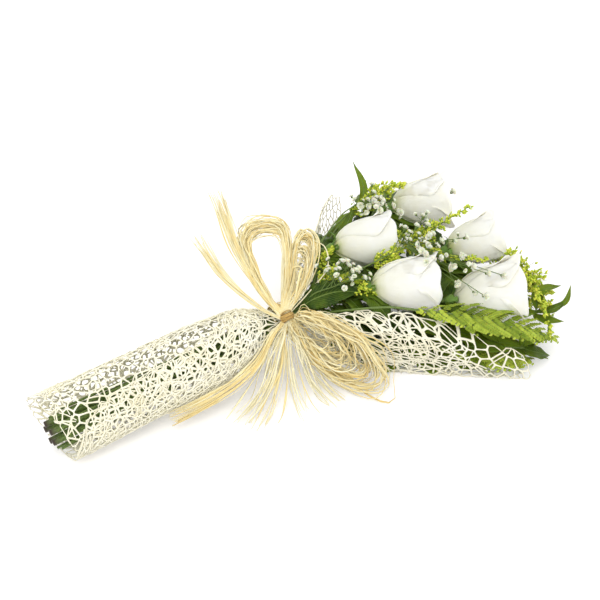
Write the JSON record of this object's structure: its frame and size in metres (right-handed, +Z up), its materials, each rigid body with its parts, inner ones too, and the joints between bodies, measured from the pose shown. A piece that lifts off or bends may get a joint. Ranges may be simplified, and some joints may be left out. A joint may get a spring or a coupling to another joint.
{
  "type": "rose bouquet",
  "caption": "Hand-tied bouquet of white roses with fern, solidago, gypsophila and leaves, rolled in cream net and tied with a raffia bow, lying on its side.",
  "frame": {"origin": "centre of the bounding box in plan, on the surface that the bouquet lies on", "axes": "+X from the cut stems to the flowers, +Z up from the surface, -Y the side that shows the bow"},
  "size_m": [0.4911, 0.2975, 0.099],
  "materials": {
    "rose_stem": "matte",
    "rose_petal": "soft satin",
    "fern": "satin",
    "leaf": "satin",
    "solidago": "matte",
    "gypsophila": "matte",
    "net": "matte",
    "raffia": "matte"
  },
  "bodies": {
    "root": {"fern_frond_1": "fern", "fern_frond_2": "fern", "fern_frond_3": "fern", "gypsophila_spray_1": "gypsophila", "gypsophila_spray_2": "gypsophila", "gypsophila_spray_3": "gypsophila", "gypsophila_spray_4": "gypsophila", "net_wrap": "net", "raffia_knot": "raffia", "raffia_loop_1": "raffia", "raffia_loop_2": "raffia", "raffia_loop_3": "raffia", "raffia_tail_1": "raffia", "raffia_tail_2": "raffia", "raffia_tail_3": "raffia", "raffia_tail_4": "raffia", "raffia_tail_5": "raffia", "rose_1_heart": "rose_petal", "rose_1_petal_1": "rose_petal", "rose_1_petal_2": "rose_petal", "rose_1_petal_3": "rose_petal", "rose_1_petal_4": "rose_petal", "rose_1_stem": "rose_stem", "rose_2_heart": "rose_petal", "rose_2_petal_1": "rose_petal", "rose_2_petal_2": "rose_petal", "rose_2_petal_3": "rose_petal", "rose_2_petal_4": "rose_petal", "rose_2_stem": "rose_stem", "rose_3_heart": "rose_petal", "rose_3_petal_1": "rose_petal", "rose_3_petal_2": "rose_petal", "rose_3_petal_3": "rose_petal", "rose_3_petal_4": "rose_petal", "rose_3_stem": "rose_stem", "rose_4_heart": "rose_petal", "rose_4_petal_1": "rose_petal", "rose_4_petal_2": "rose_petal", "rose_4_petal_3": "rose_petal", "rose_4_petal_4": "rose_petal", "rose_4_stem": "rose_stem", "rose_5_heart": "rose_petal", "rose_5_petal_1": "rose_petal", "rose_5_petal_2": "rose_petal", "rose_5_petal_3": "rose_petal", "rose_5_petal_4": "rose_petal", "rose_5_stem": "rose_stem", "rose_leaf_1": "leaf", "rose_leaf_2": "leaf", "rose_leaf_3": "leaf", "ruscus_sprig_1": "leaf", "ruscus_sprig_2": "leaf", "ruscus_sprig_3": "leaf", "solidago_spray_1": "solidago", "solidago_spray_2": "solidago", "solidago_spray_3": "solidago", "stem_tie": "raffia"}
  },
  "joints": []
}
